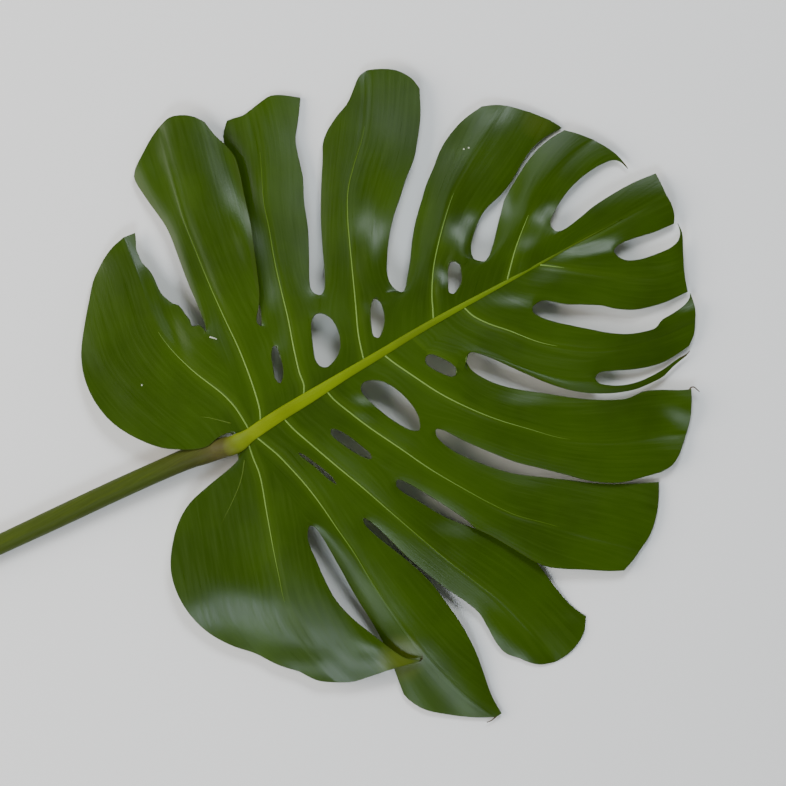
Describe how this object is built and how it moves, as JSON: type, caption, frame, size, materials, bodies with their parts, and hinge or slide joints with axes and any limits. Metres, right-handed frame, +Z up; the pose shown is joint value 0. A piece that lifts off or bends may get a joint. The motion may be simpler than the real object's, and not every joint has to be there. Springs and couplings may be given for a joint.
{
  "type": "monstera leaf",
  "caption": "Picked split leaf with holes and slits between its lobes, lying face up on its lobe tips and its long bent stalk.",
  "frame": {"origin": "centre of the bounding box of the leaf as it lies, at the surface it rests on", "axes": "+X runs from the cut end of the stalk towards the tip of the leaf, +Y to the leaf's left seen from above, +Z up"},
  "size_m": [0.5672, 0.4229, 0.0286],
  "materials": {
    "blade": "dark green, waxy and softly glossy",
    "stalk": "olive green stalk with a yellow green midrib, satin"
  },
  "bodies": {
    "root": {"blade": "blade", "stalk": "stalk"}
  },
  "joints": []
}
